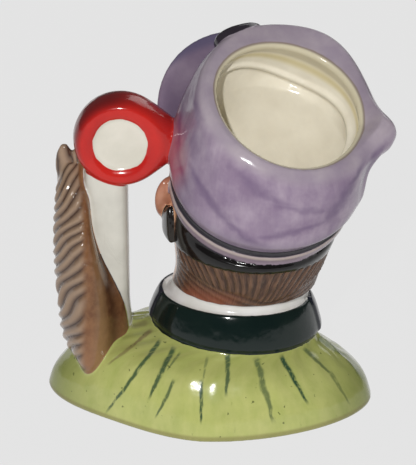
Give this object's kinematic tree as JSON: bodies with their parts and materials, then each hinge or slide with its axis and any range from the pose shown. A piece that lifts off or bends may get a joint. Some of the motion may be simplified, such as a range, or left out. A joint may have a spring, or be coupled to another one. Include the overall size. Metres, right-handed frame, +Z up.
{
  "type": "toby jug",
  "caption": "Glazed earthenware figure jug: a rider's head and shoulders in a cap, with a pouring lip at one side and a post and horse's neck for a handle.",
  "frame": {"origin": "middle of the jug's bounding box at the level of the foot ring", "axes": "+Z up, the front of the base towards -Y, the handle at +X and the pouring lip at -X"},
  "size_m": [0.0958, 0.0634, 0.1031],
  "materials": {
    "glazed_ceramic": "hand-painted colours under a clear high-gloss glaze"
  },
  "bodies": {
    "root": {"toby_jug": "glazed_ceramic"}
  },
  "joints": []
}
